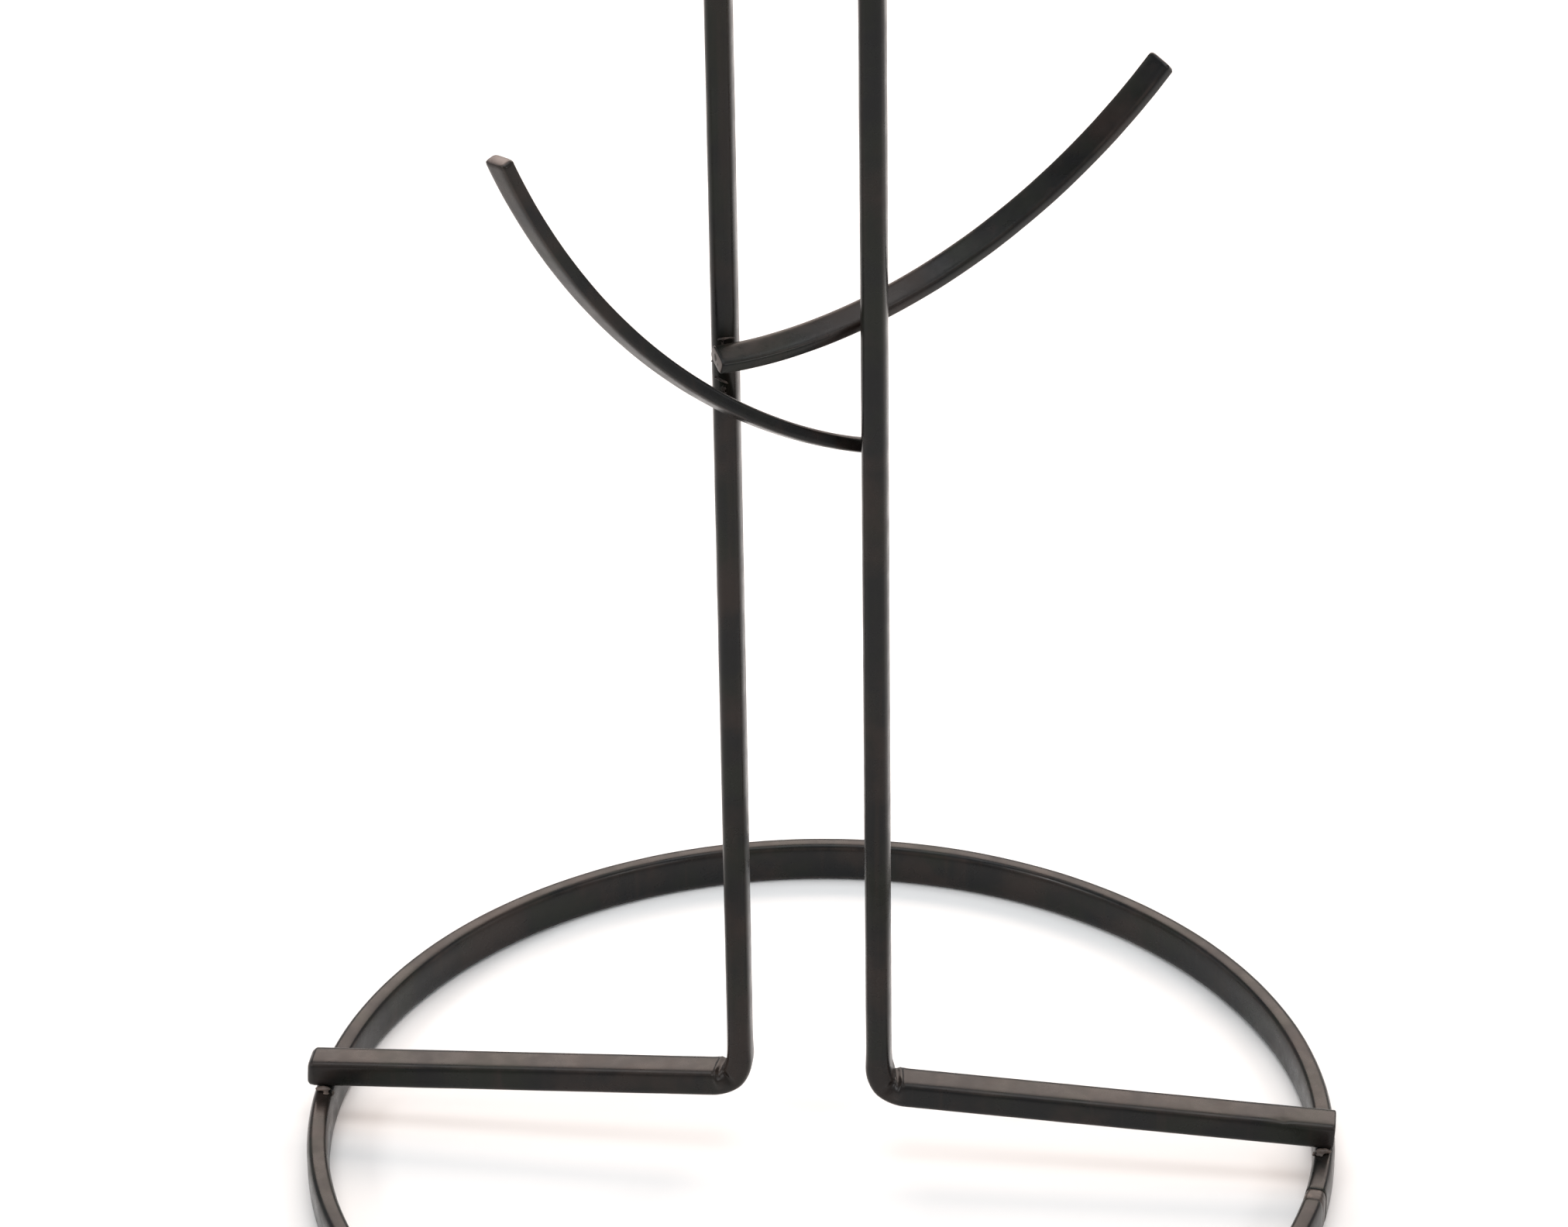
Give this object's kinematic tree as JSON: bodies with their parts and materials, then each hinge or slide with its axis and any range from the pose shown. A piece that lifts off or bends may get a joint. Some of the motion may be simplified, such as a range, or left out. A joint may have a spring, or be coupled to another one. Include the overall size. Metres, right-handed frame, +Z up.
{
  "type": "mug tree",
  "caption": "Welded metal mug tree: a ring base, a bent-bar spine with a carrying loop, and curved hooks that hold mugs by their handles.",
  "frame": {"origin": "on the table, below the middle of the spine", "axes": "+Z up, +X along the feet to the right, -Y to the front"},
  "size_m": [0.161, 0.16, 0.3884],
  "materials": {
    "bar": "satin dark bronze paint on steel",
    "weld": "dark bronze paint on rough weld"
  },
  "bodies": {
    "root": {"base_ring": "bar", "hook_low_left": "bar", "hook_low_right": "bar", "hook_middle_left": "bar", "hook_middle_right": "bar", "hook_top_left": "bar", "hook_top_right": "bar", "spine": "bar", "weld_foot_left_back": "weld", "weld_foot_left_front": "weld", "weld_foot_right_back": "weld", "weld_foot_right_front": "weld", "weld_low_left_pass": "weld", "weld_low_left_root": "weld", "weld_low_right_pass": "weld", "weld_low_right_root": "weld", "weld_middle_left_pass": "weld", "weld_middle_left_root": "weld", "weld_middle_right_pass": "weld", "weld_middle_right_root": "weld", "weld_ring_seam": "weld", "weld_top_left_pass": "weld", "weld_top_left_root": "weld", "weld_top_right_pass": "weld", "weld_top_right_root": "weld"}
  },
  "joints": []
}
